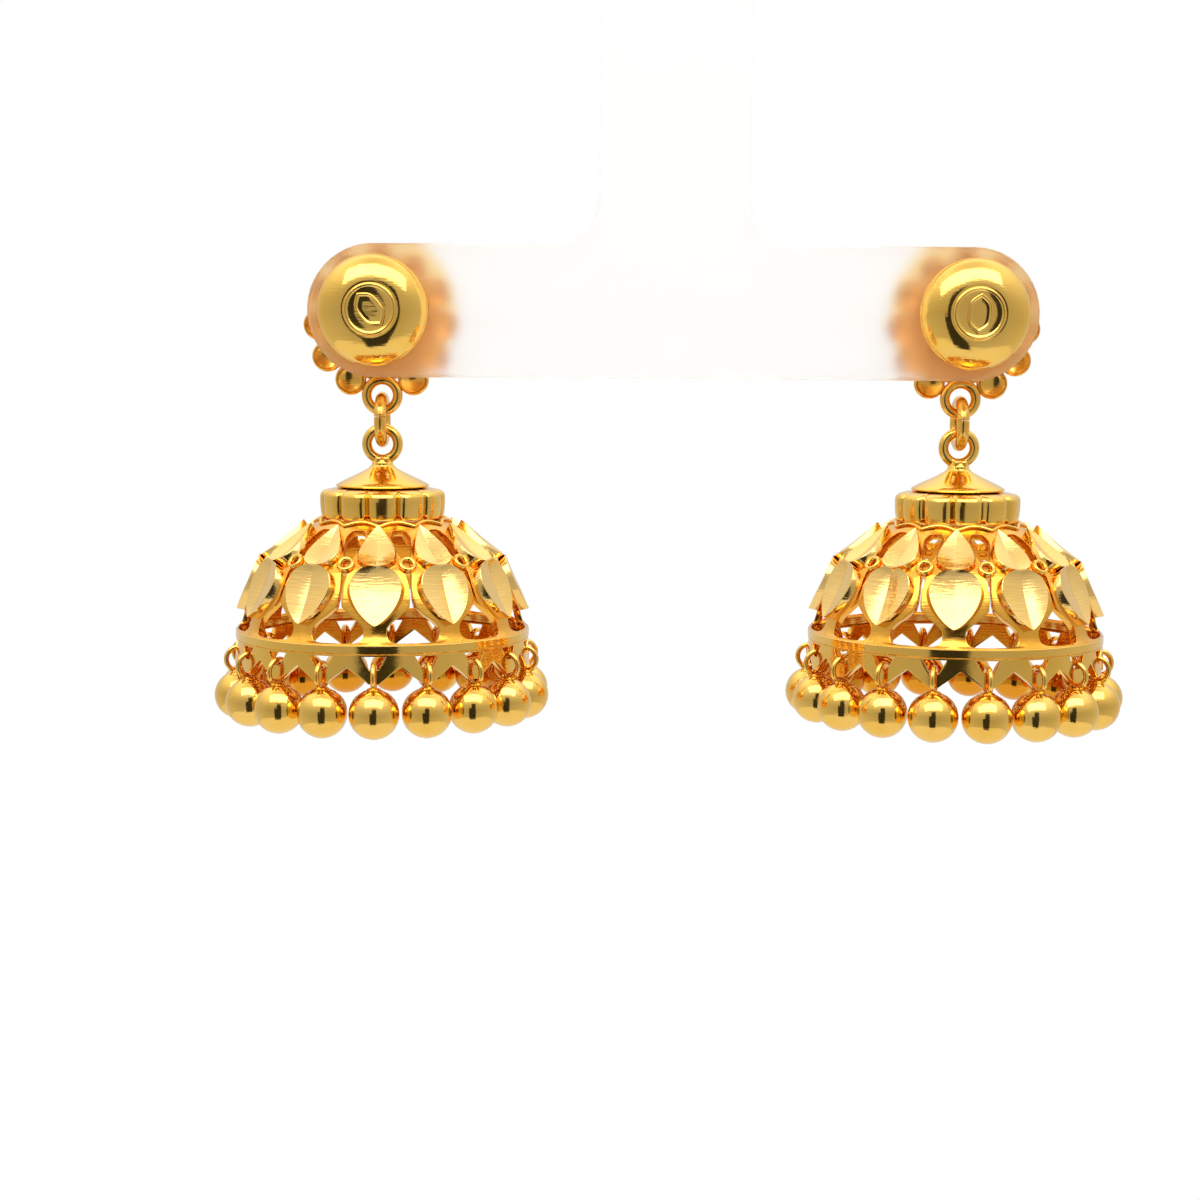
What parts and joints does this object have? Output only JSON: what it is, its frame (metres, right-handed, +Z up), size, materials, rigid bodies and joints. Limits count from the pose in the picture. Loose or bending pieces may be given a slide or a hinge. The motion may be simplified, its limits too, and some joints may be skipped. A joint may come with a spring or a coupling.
{
  "type": "pair of jhumka earrings on a display strip",
  "caption": "Gold bell-shaped jhumka earrings with flower studs, screw backs and bead fringes, held by their posts in a plain white inverted-T display strip.",
  "frame": {"origin": "middle of the display strip's flat top end, where the strip is held up", "axes": "+Z up along the strip's column, +Y towards the flowers on the earrings' fronts, +X to the right as seen from the screw backs, which is the picture's side"},
  "size_m": [0.0546, 0.0201, 0.0444],
  "materials": {
    "strip": "glossy white",
    "gold_polished": "polished yellow gold",
    "gold_cut": "diamond-cut yellow gold",
    "gold_deep": "polished yellow gold wire and petals"
  },
  "bodies": {
    "root": {"display_strip": "strip", "left_stud": "gold_deep", "left_screw_back": "gold_polished", "right_stud": "gold_deep", "right_screw_back": "gold_polished"},
    "left_link": {"left_jump_ring": "gold_deep"},
    "left_drop": {"left_bell": "gold_cut", "left_bead_01": "gold_polished", "left_bead_02": "gold_polished", "left_bead_03": "gold_polished", "left_bead_04": "gold_polished", "left_bead_05": "gold_polished", "left_bead_06": "gold_polished", "left_bead_07": "gold_polished", "left_bead_08": "gold_polished", "left_bead_09": "gold_polished", "left_bead_10": "gold_polished", "left_bead_11": "gold_polished", "left_bead_12": "gold_polished", "left_bead_13": "gold_polished", "left_bead_14": "gold_polished", "left_bead_15": "gold_polished", "left_bead_16": "gold_polished", "left_bead_17": "gold_polished", "left_bead_18": "gold_polished"},
    "right_link": {"right_jump_ring": "gold_deep"},
    "right_drop": {"right_bell": "gold_cut", "right_bead_01": "gold_polished", "right_bead_02": "gold_polished", "right_bead_03": "gold_polished", "right_bead_04": "gold_polished", "right_bead_05": "gold_polished", "right_bead_06": "gold_polished", "right_bead_07": "gold_polished", "right_bead_08": "gold_polished", "right_bead_09": "gold_polished", "right_bead_10": "gold_polished", "right_bead_11": "gold_polished", "right_bead_12": "gold_polished", "right_bead_13": "gold_polished", "right_bead_14": "gold_polished", "right_bead_15": "gold_polished", "right_bead_16": "gold_polished", "right_bead_17": "gold_polished", "right_bead_18": "gold_polished"}
  },
  "joints": [
    {"name": "left_ring_swing", "type": "hinge", "parent": "root", "child": "left_link", "pos_m": [-0.01735, 0.00145, -0.02601], "axis": [1, 0, 0], "range_deg": [-25, 25]},
    {"name": "left_bell_swing", "type": "hinge", "parent": "left_link", "child": "left_drop", "pos_m": [-0.01735, 0.00145, -0.02785], "axis": [0, 1, 0], "range_deg": [-25, 25]},
    {"name": "right_ring_swing", "type": "hinge", "parent": "root", "child": "right_link", "pos_m": [0.01735, 0.00145, -0.02601], "axis": [1, 0, 0], "range_deg": [-25, 25]},
    {"name": "right_bell_swing", "type": "hinge", "parent": "right_link", "child": "right_drop", "pos_m": [0.01735, 0.00145, -0.02785], "axis": [0, 1, 0], "range_deg": [-25, 25]}
  ]
}
